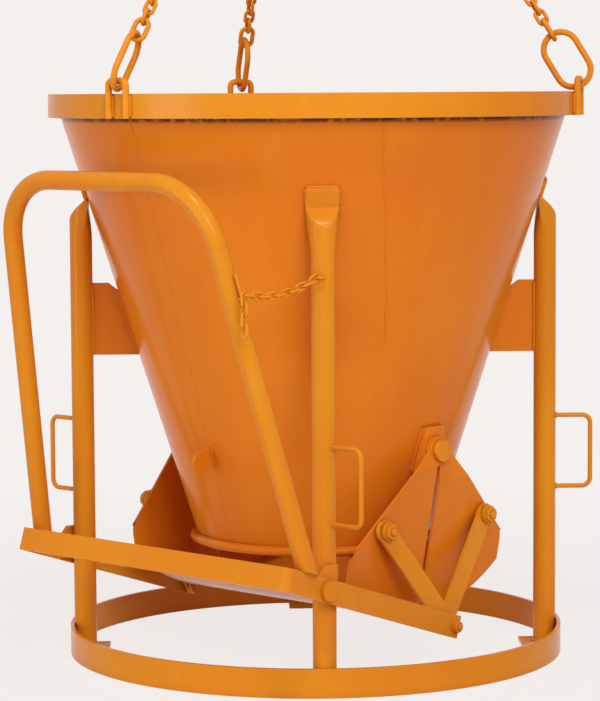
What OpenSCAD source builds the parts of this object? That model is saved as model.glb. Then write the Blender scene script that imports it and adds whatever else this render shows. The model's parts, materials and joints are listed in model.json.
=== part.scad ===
// Conical concrete bucket with a two-jaw bottom gate, a lever bail and a three-leg chain sling.
// The frame is in millimetres: Z is up, the base ring stands on Z = 0 and the cone's axis is the Z axis.
// The lever side is -Y. Azimuths are measured from -Y towards +X.

/* [Hopper] */
// Outer diameter of the cone at the neck
neck_d = 500; // [420:1:580]
// How far the cone widens on each side, from the neck to its upper edge
flare = 306; // [270:1:350]
// Height of the cone
hopper_h = 964; // [820:1:1150]
// Height of the neck's lower edge above the ground
stand_h = 240; // [210:1:280]
// Thickness of the cone's sheet
wall = 4; // [3:0.5:6]
// Diameter of the round bar around the neck
neck_bar_d = 18; // [10:1:20]

/* [Rim] */
// How far the rolled angle at the top stands out past the cone
rim_over = 13; // [8:0.5:20]
// Height of the angle's upright leg
rim_h = 50; // [35:1:70]
// Thickness of the angle
rim_t = 6; // [4:0.5:8]
// Width of the angle's flat leg
rim_w = 26; // [22:1:40]

/* [Stand] */
// Height of the base ring
base_h = 60; // [40:1:80]
// Thickness of the base ring
base_t = 8; // [5:0.5:12]
// Outer diameter of a leg tube
leg_d = 48.3; // [42:0.1:50]
// Wall of a leg tube
leg_t = 3.2; // [2:0.1:5]
// Width of the flattened end of a leg
leg_flat_w = 68; // [60:1:74]
// Thickness of the flattened end of a leg
leg_flat_t = 8; // [6:0.5:10]
// Length over which a leg flattens
leg_crush_h = 52; // [40:1:90]
// How far the crease below the flattened end lies under the cone's upper edge
leg_down = 222; // [190:1:250]
// How far the cone's face lies inside a leg's axis at the crease
leg_set = 17.32; // [14:0.01:24]
// Length of the flattened end along the cone
leg_flat_h = 40; // [30:1:55]
// Thickness of the gussets between legs and cone
gusset_t = 8; // [5:1:12]
// Width of a gusset's lower edge
gusset_w = 99.5; // [84:0.5:110]
// Height of a gusset
gusset_h = 156; // [120:1:170]
// Size of the cut corner of a gusset
gusset_cut = 16; // [6:1:24]
// Thickness of a foot plate
foot_t = 8; // [5:1:14]
// Width of a foot plate
foot_w = 90; // [60:1:120]
// How far a foot plate reaches inwards past its leg
foot_reach = 28; // [15:1:40]

/* [Grab loops] */
// Rod diameter of a grab loop
grab_d = 10; // [8:1:14]
// Height of a grab loop, over the rod's centre
grab_h = 156; // [120:1:180]
// How far a grab loop stands out from its leg, over the rod's centre
grab_reach = 76; // [60:1:100]
// Bend radius of a grab loop
grab_bend = 18; // [12:1:30]
// Height of a grab loop's lower rod
grab_z = 350; // [330:1:370]

/* [Gate] */
// Height of the jaws' pivot above the neck's lower edge
jaw_up = 223; // [200:1:250]
// Clearance between the neck's round bar and the jaws' curved bottoms
jaw_clear = 5.63; // [4:0.01:12]
// Thickness of the jaws' plates
jaw_t = 6; // [4:0.5:8]
// Gap between the two closed jaws
jaw_gap = 3; // [2:0.5:6]
// Angle that a jaw's curved bottom covers
jaw_arc = 44; // [40:0.5:47]
// Gap between the cheeks of the two closed jaws
cheek_gap = 14; // [6:0.5:20]
// Inward lean of the cheeks below their fold
cheek_lean = 11; // [8:0.5:12]
// How far the fold in the front cheeks lies below the pivot
cheek_fold = 30; // [30:1:40]
// How far the upper edge of a curved bottom stands out past the cheeks
cheek_step = 6.7; // [2:0.1:12]
// Radius of a cheek's outer corner
cheek_round = 50; // [20:1:60]
// Diameter of the jaws' pivot pins
jaw_pin_d = 20; // [16:1:24]
// Diameter of a pivot pin's head
jaw_head_d = 46; // [38:1:52]
// Width of a pivot bracket
hanger_w = 62; // [54:1:62]
// Height of a pivot bracket above the pivot
hanger_up = 50; // [40:1:50]
// Height of a pivot bracket below the pivot
hanger_down = 48; // [36:1:48]
// Thickness of a pivot bracket's plates
hanger_t = 8; // [6:0.5:10]
// Gap between the cone and a pivot bracket's plate, at its upper edge
hanger_gap = 0.34; // [0.1:0.01:6]

/* [Linkage] */
// Distance of a link's upper stud from the middle, along Y
stud_y = 160.5; // [155:0.5:166]
// How far a link's upper stud lies below the jaws' pivot
stud_drop = 153; // [140:1:160]
// Diameter of a stud, and of the pin at the lever's end
stud_d = 16; // [12:1:18]
// Diameter of a stud's head
stud_head_d = 38; // [34:1:44]
// Width of a link
link_w = 45; // [42:1:50]
// Thickness of a link
link_t = 8; // [5:0.5:8]
// Play around a stud in the link's upper eye
link_play = 6; // [5.5:0.1:6.5]
// Distance of a link from the cheek, at the stud
link_stand = 8; // [7:0.5:12]
// Gap between the links, and between a link and the lever's arm, at the pin
link_gap = 4; // [3.5:0.1:6]

/* [Lever] */
// Clearance between a leg and the lever's pivot bolt
lever_clear = 3.28; // [2:0.01:12]
// Height of the lever's pivot
lever_z = 223; // [218:1:228]
// Height of the lever's flat bar
bar_h = 48; // [40:1:52]
// Thickness of the lever's flat bar
bar_t = 10; // [6:0.5:12]
// Distance from the lever's pivot to the front face of its crossbar
bar_front = 122; // [114:1:135]
// Bend radius of the lever's corners, outside
bar_bend = 18; // [13:1:26]
// Height of the pin at the lever's end
lever_end_z = 95; // [90:1:100]
// Diameter of the lever's pivot bolts
lever_pin_d = 20; // [14:1:22]
// Diameter of a pivot bolt's head
lever_head_d = 41; // [34:1:48]
// Thickness of the plates that carry the lever
fork_t = 8; // [6:0.5:10]
// Height of these plates above the lever's pivot
fork_up = 49; // [40:1:70]
// Depth of these plates below the lever's pivot
fork_down = 20; // [16:1:30]
// Width of these plates around the pivot bolt
fork_edge = 8; // [5:0.5:10]
// Gap between a pivot pin's head on the gate and the lever's arm
arm_gap = 18.72; // [16:0.01:26]

/* [Bail] */
// Outer diameter of the bail's tube
bail_d = 40; // [34:0.5:42]
// Wall of the bail's tube
bail_t = 3; // [2:0.5:5]
// Distance of a bail foot's axis from the inner face of the lever's arm
bail_in = 3.28; // [0:0.01:10]
// How far the bail's grip lies below the rim, over the tube's centre
bail_down = 123.9; // [80:0.1:200]
// Outward lean of the bail
bail_lean = 13.2; // [11:0.1:16]
// Lean of each side of the bail towards the other
bail_taper = 7.9; // [6:0.1:9]
// Bend radius of the bail's upper corners
bail_bend_r = 150; // [110:1:190]
// Distance from the lever's pivot to the bail's feet, along the lever
bail_foot = 62; // [50:1:70]

/* [Sling] */
// Bar diameter of the lugs on the rim
lug_d = 14; // [10:0.5:14]
// Width of a lug, over the bar's centre
lug_w = 50; // [48:1:60]
// Height of a lug above the rim, over the bar's centre
lug_up = 26; // [25:0.5:32]
// Wire diameter of the sling's end links
end_d = 13; // [10:0.5:13]
// Inside length of an end link
end_l = 110; // [90:1:130]
// Inside width of an end link
end_w = 60; // [50:1:70]
// Wire diameter of the sling's chain
chain_d = 8; // [6:0.5:8]
// Inside length of a link of the sling's chain
chain_l = 24; // [24:0.5:32]
// Number of chain links in a leg
chain_n = 33; // [28:1:36]
// Wire diameter of the coupling links between chain and end links
joiner_d = 10; // [9:0.5:10]
// Inside length of a coupling link
joiner_l = 38; // [36:1:48]
// Inside width of a coupling link
joiner_w = 18; // [16:0.5:22]
// Wire diameter of the master ring
ring_d = 20; // [16:1:22]
// Inside diameter of the master ring
ring_in = 110; // [104:1:140]

/* [Lock chain] */
// Wire diameter of the lock chain
lock_d = 5; // [4:0.5:5]
// Inside length of a link of the lock chain
lock_l = 21; // [20:0.5:24]
// Number of links that hang down at the bail
lock_tail = 4; // [2:1:5]
// How far the eye on the leg lies below the leg's flattened stretch
lock_down = 84; // [60:1:110]
// Least distance of the lock hook below the bail's bends
lock_below = 40; // [30:1:60]

/* [Stop lug] */
// Height of the lug above the neck's lower edge
stop_up = 192; // [170:1:220]
// Height of the lug along the cone
stop_h = 42; // [30:1:60]
// How far the lug stands out from the cone
stop_out = 56; // [40:1:70]
// Size of the lug's cut corner
stop_cut = 12; // [6:1:18]
// Thickness of the lug
stop_t = 8; // [5:1:12]

/* [Hidden] */
$fn = 64;
paint = "#d97a20";
paint_light = "#e08e1e";

// Clearance of a running fit, on the radius
fit = 0.05;
// Gap between pieces that slide past each other
gap = 1;
// Gap between neighbouring chain links
slack = 0.3;
// Gap between the sling's end links and the master ring
ring_slack = 0.8;

head_h = 10;

lug_az = [0, 120, -120];
top_d = neck_d + 2 * flare;
cone_k = flare / hopper_h;
cone_a = atan(cone_k);
rim_d = top_d + 2 * rim_over;
rim_z = stand_h + hopper_h + rim_t;

// The gate's pivot, and the curved bottoms that swing clear of the neck's bar
neck_bar_z = stand_h + neck_bar_d / 2 + 3;
neck_bar_r = cone_r(neck_bar_z) + neck_bar_d / 2 / cos(cone_a);
jaw_z = stand_h + jaw_up;
jaw_r = norm([neck_bar_r, jaw_z - neck_bar_z]) + neck_bar_d / 2 + jaw_clear + jaw_t;
cheek_fold_z = jaw_z - cheek_fold;
cheek_reach = jaw_r * sin(jaw_arc) - cheek_step;
stud_z = jaw_z - stud_drop;

// Places across the gate, from the cone outwards
cheek_k = tan(cheek_lean);
hanger_x = cone_r(jaw_z + hanger_up) + hanger_gap + hanger_t;
rear_x = hanger_x + gap + jaw_t;
cheek_x = rear_x + gap + jaw_t;
rear_fold_z = cheek_fold_z - (cheek_x - rear_x) / cheek_k;
arm_x = cheek_x + gap + head_h + arm_gap;
link_front_x = arm_x - link_gap - link_t;
link_rear_x = link_front_x - link_gap - link_t;
fork_x = arm_x - gap - fork_t;

// The links lean inwards from the lever's end to the studs on the cheeks
stud_x = cheek_x - cheek_k * (cheek_fold_z - stud_z);
link_top_x = stud_x + link_stand;
link_l = norm([stud_y, stud_z - lever_end_z]);
function link_k(x) = (link_top_x - x) / link_l;

// The legs stand inside the lever's arms, and upright under the height where they meet the cone
leg_crease_z = stand_h + hopper_h - leg_down;
leg_crush_z = leg_crease_z - leg_crush_h;
leg_r = cone_r(leg_crease_z) + leg_set;
leg_x = fork_x - leg_d / 2;
leg_az = asin(leg_x / leg_r);
leg_y = leg_r * cos(leg_az);
base_d = 2 * (leg_r + leg_d / 2 + base_t);
gusset_z = stand_h + (leg_r - leg_d / 2 - gusset_w - neck_d / 2) / cone_k;
lever_y = leg_y + leg_d / 2 + lever_clear + lever_pin_d / 2;
arm_tilt = atan((lever_z - lever_end_z) / lever_y);
arm_l = lever_y / cos(arm_tilt);
arm_tail = 14;
arm_wide = 2 * (arm_x + bar_t);

// The edge of a cheek: its direction from the pivot and how far it lies above the pivot
cheek_edge_a = 46;
cheek_edge_off = 24;
cheek_ear_r = 30;

// The bail's plane: where the corner arcs have their centres
bail_w = 2 * (arm_x + bail_in);
bail_y = lever_y + bail_foot * cos(arm_tilt) - bar_h / 2 * sin(arm_tilt);
bail_z = lever_z + bail_foot * sin(arm_tilt) + bar_h / 2 * cos(arm_tilt);
bail_h = (rim_z - rim_h - bail_down - bail_z) / cos(bail_lean);
bail_corner_w = bail_h - bail_bend_r;
bail_corner_x = (bail_w / 2 * cos(bail_taper) - bail_bend_r - bail_corner_w * sin(bail_taper)) / cos(bail_taper);
bail_leg_l = (bail_corner_w + bail_bend_r * sin(bail_taper)) / cos(bail_taper);

// The sling: each leg runs straight from its lug to its place on the master ring
lug_r = rim_d / 2 + lug_d / 2;
lug_z = rim_z + lug_up;
sling_l = 2 * (end_l + joiner_l) + chain_n * chain_l - (chain_n + 3) * slack;
sling_turns = chain_n + 3;
sling_reach = sling_l - lug_d / 2 - slack - ring_d / 2 - ring_slack;
lug_twist = [30, 0, 0];
ring_spread = 28;
ring_mid = ring_in / 2 + ring_d / 2;
seat_x = [0, ring_mid * sin(ring_spread), -ring_mid * sin(ring_spread)];
side_up = ring_mid * (1 - cos(ring_spread));
seat_up = [0, side_up, side_up];

// The ring stands a little off the cone's axis, so that all three legs are taut
rough_rise = sqrt(sling_reach * sling_reach - lug_r * lug_r);
side_x = lug_r * sin(lug_az[1]) - seat_x[1];
ring_y = (side_x * side_x + 2 * rough_rise * side_up + side_up * side_up - 0.75 * lug_r * lug_r) / (3 * lug_r);
front_rise = sqrt(sling_reach * sling_reach - (lug_r + ring_y) * (lug_r + ring_y));
ring_z = lug_z + front_rise + ring_mid;

// A leg runs from the middle of its lug's bar to the middle of the ring's wire
function lug_bar(i) = [lug_r * sin(lug_az[i]), -lug_r * cos(lug_az[i]), lug_z];
function ring_wire(i) = [seat_x[i], ring_y, ring_z - ring_mid + seat_up[i]];
function along(i) = (ring_wire(i) - lug_bar(i)) / norm(ring_wire(i) - lug_bar(i));
function lug_point(i) = lug_bar(i) - (lug_d / 2 + slack) * along(i);

// The lock chain lies on an arc in an upright plane, from the leg's eye to the bail
lock_z = min(leg_crush_z - lock_down, bail_z + (bail_corner_w - lock_below) * cos(bail_lean));
lock_in = lock_d * 1.7;
lock_eye_w = 26;
lock_eye_out = leg_d / 2 + lock_d / 2 + 8;
lock_az = leg_az - 25;
lock_a = [leg_x + lock_eye_out * sin(lock_az), -leg_y - lock_eye_out * cos(lock_az), lock_z];
lock_bail_w = (lock_z - 12 - bail_z) / cos(bail_lean);
lock_hook_x = bail_w / 2 - lock_bail_w * tan(bail_taper) + bail_d / 2;
hook_d = 7;
hook_off = 10;
hook_rise = 52;
lock_sweep = 36;
lock_dip = 7;
// Extra room between the hanging links and the bail, as the chain drops past it
lock_side = 7.5;
lock_end = [lock_hook_x + hook_off + hook_d + lock_d * 2 + lock_side, -bail_y - lock_bail_w * sin(bail_lean)];
lock_to = lock_end - [lock_a[0], lock_a[1]];
lock_n = 2 * round(norm(lock_to) / (lock_l - slack) / 2 * (PI * lock_sweep / 360) / sin(lock_sweep / 2));

// How far the plates that carry the lever reach in front of its pivot, short of the bail
fork_reach = lever_pin_d / 2 + fork_edge;

// Radius of the cone's outer face at height z
function cone_r(z) = neck_d / 2 + (z - stand_h) * cone_k;

// Turns a piece so that its +X points outwards at azimuth az
module place(az) {
    rotate([0, 0, az - 90])
        children();
}

// A plate of thickness t standing in the plane of local X and Z
module upright(t) {
    rotate([90, 0, 0])
        linear_extrude(t, center = true)
            children();
}

// A cylinder along X from x1 to x2, through the point y, z
module x_rod(d, x1, x2, y, z) {
    translate([x1, y, z])
        rotate([0, 90, 0])
            cylinder(d = d, h = x2 - x1);
}

// Mirrors a piece across the YZ plane when side is -1
module on_side(side) {
    if (side > 0)
        children();
    else
        mirror([1, 0, 0])
            children();
}

// A bent round rod: two legs along +Z, w apart, that reach up to height h over the rod's centre
module u_rod(w, h, d, bend) {
    for (s = [0, 1])
        mirror([s, 0, 0]) {
            translate([w / 2, 0, 0])
                cylinder(d = d, h = h - bend);
            translate([w / 2 - bend, 0, h - bend])
                rotate([90, 0, 0])
                    rotate_extrude(angle = 90)
                        translate([bend, 0])
                            circle(d = d);
        }
    translate([-w / 2 + bend, 0, h])
        rotate([0, 90, 0])
            cylinder(d = d, h = w - 2 * bend);
}

// A welded oblong link along Z in the XZ plane, centred, with inside length l and inside width w
module oblong(d, l, w) {
    r = w / 2 + d / 2;
    s = l - w;
    for (e = [0, 1])
        rotate([0, 180 * e, 0]) {
            translate([0, 0, s / 2])
                rotate([90, 0, 0])
                    rotate_extrude(angle = 180)
                        translate([r, 0])
                            circle(d = d);
            translate([r, 0, -s / 2])
                cylinder(d = d, h = s);
        }
}

// Points a piece's +Z along the vector v
module aim(v) {
    rotate([0, acos(v[2] / norm(v)), atan2(v[1], v[0])])
        children();
}

// The solid that the cone's outer face encloses
module cone_body() {
    translate([0, 0, stand_h])
        cylinder(r1 = neck_d / 2, r2 = top_d / 2, h = hopper_h, $fn = 128);
}

// Hopper: an open cone of rolled sheet
module hopper() {
    w = wall / cos(cone_a);
    color(paint)
        rotate_extrude($fn = 128)
            polygon([
                [neck_d / 2 - w, stand_h],
                [neck_d / 2, stand_h],
                [top_d / 2, stand_h + hopper_h],
                [top_d / 2 - w, stand_h + hopper_h]
            ]);
}

// Rim: a rolled angle that caps the cone's upper edge
module rim() {
    color(paint_light)
        rotate_extrude($fn = 128)
            polygon([
                [rim_d / 2 - rim_w, rim_z - rim_t],
                [rim_d / 2 - rim_t, rim_z - rim_t],
                [rim_d / 2 - rim_t, rim_z - rim_h],
                [rim_d / 2, rim_z - rim_h],
                [rim_d / 2, rim_z],
                [rim_d / 2 - rim_w, rim_z]
            ]);
}

// Neck ring: a round bar around the cone just above its lower edge
module neck_ring() {
    color(paint)
        translate([0, 0, neck_bar_z])
            rotate_extrude($fn = 128)
                translate([neck_bar_r, 0])
                    circle(d = neck_bar_d);
}

// Base ring: a flat bar rolled on its edge
module base_ring() {
    color(paint_light)
        difference() {
            cylinder(d = base_d, h = base_h, $fn = 128);
            translate([0, 0, -1])
                cylinder(d = base_d - 2 * base_t, h = base_h + 2, $fn = 128);
        }
}

// The flattened end of a leg, from height z1 to z2, in the leg's own radial plane
module leg_strip(z1, z2) {
    nx = leg_flat_t * cos(cone_a);
    nz = leg_flat_t * sin(cone_a);
    upright(leg_flat_w)
        polygon([
            [cone_r(z1), z1],
            [cone_r(z1) + nx, z1 - nz],
            [cone_r(z2) + nx, z2 - nz],
            [cone_r(z2), z2]
        ]);
}

// A leg: a tube whose upper end is pressed flat and bent to lie on the cone
module leg(az) {
    color(paint_light)
        place(az) {
            translate([leg_r, 0, foot_t])
                difference() {
                    cylinder(d = leg_d, h = leg_crush_z - foot_t);
                    translate([0, 0, -1])
                        cylinder(d = leg_d - 2 * leg_t, h = leg_crush_z - foot_t - 20);
                }
            hull() {
                translate([leg_r, 0, leg_crush_z - 0.5])
                    cylinder(d = leg_d - 0.4, h = 0.5, $fn = 32);
                leg_strip(leg_crease_z, leg_crease_z + 2);
            }
            leg_strip(leg_crease_z, leg_crease_z + leg_flat_h);
        }
}

// A gusset: a plate that ties a leg to the cone
module gusset(az) {
    x2 = leg_r - leg_d / 2;
    z2 = gusset_z + gusset_h;
    color(paint)
        place(az)
            upright(gusset_t)
                polygon([
                    [cone_r(gusset_z), gusset_z],
                    [x2, gusset_z],
                    [x2, z2],
                    [cone_r(z2) + gusset_cut, z2],
                    [cone_r(z2 - gusset_cut), z2 - gusset_cut]
                ]);
}

// A foot plate under a leg, inside the base ring
module foot(az) {
    x1 = leg_r - leg_d / 2 - foot_reach;
    color(paint_light)
        intersection() {
            place(az)
                translate([x1, -foot_w / 2, 0])
                    cube([base_d / 2 - x1, foot_w, foot_t]);
            cylinder(d = base_d - 2 * base_t, h = foot_t, $fn = 128);
        }
}

// A grab loop of bent rod, welded to a leg and turned about it
module grab(az, turn) {
    color(paint_light)
        place(az)
            translate([leg_r, 0, grab_z + grab_h / 2])
                rotate([0, 0, turn])
                    translate([leg_d / 2, 0, 0])
                        rotate([0, 90, 0])
                            u_rod(grab_h, grab_reach, grab_d, grab_bend);
}

// A hanger: a bracket on the cone that holds a jaw pivot pin
module hanger(side) {
    z1 = jaw_z - hanger_down;
    h = hanger_down + hanger_up;
    x1 = cone_r(z1) - 20;
    color(paint)
        on_side(side)
            difference() {
                union() {
                    translate([hanger_x - hanger_t, -hanger_w / 2, z1])
                        cube([hanger_t, hanger_w, h]);
                    for (y = [-hanger_w / 2, hanger_w / 2 - hanger_t])
                        translate([x1, y, z1])
                            cube([hanger_x - x1, hanger_t, h]);
                }
                cone_body();
                x_rod(jaw_pin_d, hanger_x - hanger_t - 1, hanger_x + 1, 0, jaw_z);
            }
}

// A jaw pivot pin, fast in its hanger, with a round head outside the cheeks
module jaw_pin(side) {
    x2 = cheek_x + gap;
    color(paint_light)
        on_side(side) {
            x_rod(jaw_pin_d, hanger_x - hanger_t, x2, 0, jaw_z);
            x_rod(jaw_head_d, x2, x2 + head_h, 0, jaw_z);
        }
}

// A fork: a plate on the outside of a leg that carries the lever's pivot bolt in front of it
module fork(side) {
    y1 = -lever_y - fork_reach;
    z1 = lever_z - fork_down;
    z2 = lever_z + fork_up;
    color(paint_light)
        on_side(side)
            difference() {
                translate([fork_x, 0, 0])
                    rotate([90, 0, 90])
                        linear_extrude(fork_t)
                            polygon([
                                [2 - leg_y, z1],
                                [2 - leg_y, z2],
                                [-leg_y - leg_d / 2 - 2, z2],
                                [y1, lever_z + fork_reach],
                                [y1, z1]
                            ]);
                x_rod(lever_pin_d, fork_x - 1, fork_x + fork_t + 1, -lever_y, lever_z);
            }
}

// A lever pivot bolt, fast in its fork, with its head outside the arm
module lever_bolt(side) {
    x2 = arm_x + bar_t + gap;
    color(paint_light)
        on_side(side) {
            x_rod(lever_pin_d, fork_x, x2, -lever_y, lever_z);
            x_rod(lever_head_d, x2, x2 + head_h, -lever_y, lever_z);
        }
}

// Stop lug: a small plate that stands square on the cone above the lever
module stop_lug() {
    z1 = stand_h + stop_up;
    color(paint)
        place(0)
            translate([cone_r(z1), 0, z1])
                rotate([0, cone_a, 0])
                    upright(stop_t)
                        polygon([
                            [0, 0],
                            [stop_out, 0],
                            [stop_out, stop_h - stop_cut],
                            [stop_out - stop_cut, stop_h],
                            [0, stop_h]
                        ]);
}

// Lock eye: a wire staple on the outside of a leg
module lock_eye() {
    color(paint_light)
        translate([leg_x, -leg_y, lock_z])
            place(lock_az)
                difference() {
                    rotate([0, 90, 0])
                        rotate([0, 0, 90])
                            u_rod(lock_eye_w, lock_eye_out, lock_d, lock_d * 1.2);
                    translate([0, 0, -lock_eye_w])
                        cylinder(d = leg_d, h = 2 * lock_eye_w);
                }
}

// The space between two faces of a leaning cheek, whose outer face is at x above its fold
module cheek_sheet(x, fold_z) {
    z1 = jaw_z - jaw_r - 20;
    z2 = jaw_z + jaw_r;
    lean = cheek_k * (fold_z - z1);
    rotate([90, 0, 0])
        linear_extrude(3 * jaw_r, center = true)
            polygon([
                [x - jaw_t, z2],
                [x - jaw_t, fold_z],
                [x - jaw_t - lean, z1],
                [x - lean, z1],
                [x, fold_z],
                [x, z2]
            ]);
}

// The outline of a cheek, as a thick slice along X, for the jaw on the -Y side
module cheek_slice() {
    ca = cos(cheek_edge_a);
    sa = sin(cheek_edge_a);
    x1 = rear_x - jaw_r;
    low = -2 * jaw_r;
    turn = cheek_round * tan(cheek_edge_a / 2);
    e1 = cheek_edge_off * [-ca, sa];
    e2 = e1 - (cheek_reach + e1[0]) * [1, ca / sa];
    x_rod(2 * cheek_ear_r, x1, x1 + 2 * jaw_r, 0, jaw_z);
    intersection() {
        x_rod(2 * jaw_r, x1, x1 + 2 * jaw_r, 0, jaw_z);
        translate([x1, 0, jaw_z])
            rotate([90, 0, 90])
                linear_extrude(2 * jaw_r)
                    difference() {
                        polygon([
                            [0, 0],
                            e1,
                            e2,
                            [e2[0], low],
                            [-cheek_gap / 2, low],
                            [-cheek_gap / 2, -cheek_ear_r - 4],
                            [cheek_ear_r * 0.5, -cheek_ear_r * 0.8]
                        ]);
                        difference() {
                            polygon([e2, e2 + turn * [sa, ca], e2 + [cheek_round, -turn], e2 - [0, turn]]);
                            translate(e2 + [cheek_round, -turn])
                                circle(r = cheek_round, $fn = 128);
                        }
                    }
    }
}

// A cheek on the +X side of the jaw on the -Y side, whose outer face is at x
module cheek(x, fold_z) {
    difference() {
        intersection() {
            cheek_sheet(x, fold_z);
            cheek_slice();
        }
        x_rod(jaw_pin_d + 2 * fit, x - 2 * jaw_t, x + jaw_t, 0, jaw_z);
    }
}

// Turns a piece of the -Y jaw into one of the +Y jaw
module to_rear() {
    mirror([0, 1, 0])
        children();
}

// The curved bottom of the jaw on the -Y side, between cheeks whose outer faces are at x
module shell(x) {
    z1 = jaw_z - jaw_r - 20;
    xi = x - jaw_t;
    lean = cheek_k * (cheek_fold_z - z1);
    r1 = jaw_r - jaw_t;
    intersection() {
        rotate([90, 0, 0])
            linear_extrude(2 * jaw_r, center = true)
                polygon([
                    [-xi + lean, z1],
                    [xi - lean, z1],
                    [xi, cheek_fold_z],
                    [-xi, cheek_fold_z]
                ]);
        difference() {
            x_rod(2 * jaw_r, -jaw_r, jaw_r, 0, jaw_z, $fn = 128);
            x_rod(2 * r1, -jaw_r - 1, jaw_r + 1, 0, jaw_z, $fn = 128);
        }
        translate([-jaw_r, 0, jaw_z])
            rotate([90, 0, 90])
                linear_extrude(2 * jaw_r)
                    polygon([
                        [-jaw_gap / 2, 0],
                        [-jaw_gap / 2, -2 * jaw_r],
                        [-2 * jaw_r * tan(jaw_arc), -2 * jaw_r]
                    ]);
    }
}

// Two studs that carry links on the cheeks of the -Y jaw; x is the inner face of the links at the lever's end
module studs(x) {
    lean = gap + stud_head_d / 2 * abs(link_k(x));
    x1 = link_top_x - lean;
    x2 = link_top_x + link_t + lean;
    for (side = [1, -1])
        on_side(side)
            difference() {
                union() {
                    x_rod(stud_d, stud_x - jaw_t, x2, -stud_y, stud_z);
                    x_rod(stud_head_d, stud_x - jaw_t, x1, -stud_y, stud_z);
                    x_rod(stud_head_d, x2, x2 + head_h * 0.8, -stud_y, stud_z);
                }
                inner_side(cheek_x);
            }
}

// Everything on the inner side of a leaning cheek's outer face
module inner_side(x) {
    z1 = jaw_z - jaw_r - 20;
    lean = cheek_k * (cheek_fold_z - z1);
    rotate([90, 0, 0])
        linear_extrude(3 * jaw_r, center = true)
            polygon([
                [0, z1],
                [x - lean, z1],
                [x, cheek_fold_z],
                [x, jaw_z + jaw_r],
                [0, jaw_z + jaw_r]
            ]);
}

module front_shell() {
    color(paint) shell(cheek_x);
}

module rear_shell() {
    color(paint) to_rear() shell(cheek_x);
}

module front_cheek(side) {
    color(paint) on_side(side) cheek(cheek_x, cheek_fold_z);
}

module rear_cheek(side) {
    color(paint) on_side(side) to_rear() cheek(rear_x, rear_fold_z);
}

module front_studs() {
    color(paint_light) studs(link_front_x);
}

module rear_studs() {
    color(paint_light) to_rear() studs(link_rear_x);
}

// A link from the pin at the lever's end up to a stud on the -Y jaw, with its inner face at x beside the pin
module link(x) {
    k = link_k(x);
    z1 = -link_w;
    z2 = link_l + link_w;
    translate([0, 0, lever_end_z])
        rotate([atan2(stud_y, stud_z - lever_end_z), 0, 0])
            difference() {
                intersection() {
                    rotate([90, 0, 90])
                        linear_extrude(2 * x) {
                            circle(d = link_w);
                            translate([0, link_l])
                                circle(d = link_w);
                            translate([-link_w / 2, 0])
                                square([link_w, link_l]);
                        }
                    rotate([90, 0, 0])
                        linear_extrude(2 * link_w, center = true)
                            polygon([
                                [x + k * z1, z1],
                                [x + k * z1 + link_t, z1],
                                [x + k * z2 + link_t, z2],
                                [x + k * z2, z2]
                            ]);
                }
                x_rod(stud_d + 2 * fit, x - link_w, x + link_w, 0, 0);
                x_rod(stud_d + 2 * link_play, link_top_x - link_w, link_top_x + link_w, 0, link_l);
            }
}

module link_front(side) {
    color(paint_light) on_side(side) link(link_front_x);
}

module link_rear(side) {
    color(paint_light) on_side(side) to_rear() link(link_rear_x);
}

// Puts a piece drawn about the lever's pivot, with the arm along +Y, in its place
module at_lever() {
    translate([0, -lever_y, lever_z])
        rotate([-arm_tilt, 0, 0])
            children();
}

// A rectangle from x = -w / 2 to w / 2 that starts at y = 0 with two round corners of radius r
module round_front(w, l, r) {
    for (x = [-w / 2 + r, w / 2 - r])
        translate([x, r])
            circle(r = r);
    translate([-w / 2 + r, 0])
        square([w - 2 * r, l]);
    translate([-w / 2, r])
        square([w, l - r]);
}

// Lever frame: one flat bar bent to a U, a crossbar in front and an arm along either side
module lever_frame() {
    l = bar_front + arm_l + arm_tail;
    color(paint_light)
        at_lever()
            difference() {
                translate([0, -bar_front, -bar_h / 2])
                    linear_extrude(bar_h)
                        difference() {
                            round_front(arm_wide, l, bar_bend);
                            translate([0, bar_t])
                                round_front(2 * arm_x, l, bar_bend - bar_t);
                        }
                for (side = [1, -1])
                    on_side(side) {
                        x_rod(lever_pin_d + 2 * fit, arm_x - 1, arm_x + bar_t + 1, 0, 0);
                        x_rod(stud_d, arm_x - 1, arm_x + bar_t + 1, arm_l, 0);
                    }
            }
}

// Lever end pins: each joins two links to the end of an arm
module lever_end_pins() {
    x1 = link_rear_x - link_gap / 2;
    x2 = arm_x + bar_t;
    color(paint_light)
        for (side = [1, -1])
            on_side(side) {
                x_rod(stud_d * 1.6, x1 - head_h * 0.7, x1, 0, lever_end_z);
                x_rod(stud_d, x1, x2, 0, lever_end_z);
                x_rod(stud_d * 1.6, x2, x2 + head_h * 0.7, 0, lever_end_z);
            }
}

// Puts a piece drawn in the bail's plane, X across and Z up, in its place on the lever
module at_bail() {
    translate([0, -bail_y, bail_z])
        rotate([bail_lean, 0, 0])
            children();
}

// The cross-section of the bail's tube
module bail_section() {
    difference() {
        circle(d = bail_d);
        circle(d = bail_d - 2 * bail_t);
    }
}

// Bail side: a straight stretch of the bent tube, cut off along the top of the lever's arm
module bail_side(side) {
    color(paint_light)
        on_side(side)
            difference() {
                at_bail()
                    translate([bail_w / 2, 0, 0])
                        rotate([0, -bail_taper, 0])
                            translate([0, 0, -bail_d])
                                linear_extrude(bail_leg_l + bail_d)
                                    bail_section();
                at_lever()
                    translate([arm_x - bail_d, -2 * bail_foot, bar_h / 2 - 2 * bail_d])
                        cube([4 * bail_d, 2 * bail_foot, 2 * bail_d]);
            }
}

// Bail bend: one of the bent tube's upper corners
module bail_bend(side) {
    color(paint_light)
        on_side(side)
            at_bail()
                translate([bail_corner_x, 0, bail_corner_w])
                    rotate([90, 0, 0])
                        rotate([0, 0, bail_taper])
                            rotate_extrude(angle = 90 - bail_taper)
                                translate([bail_bend_r, 0])
                                    bail_section();
}

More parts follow.
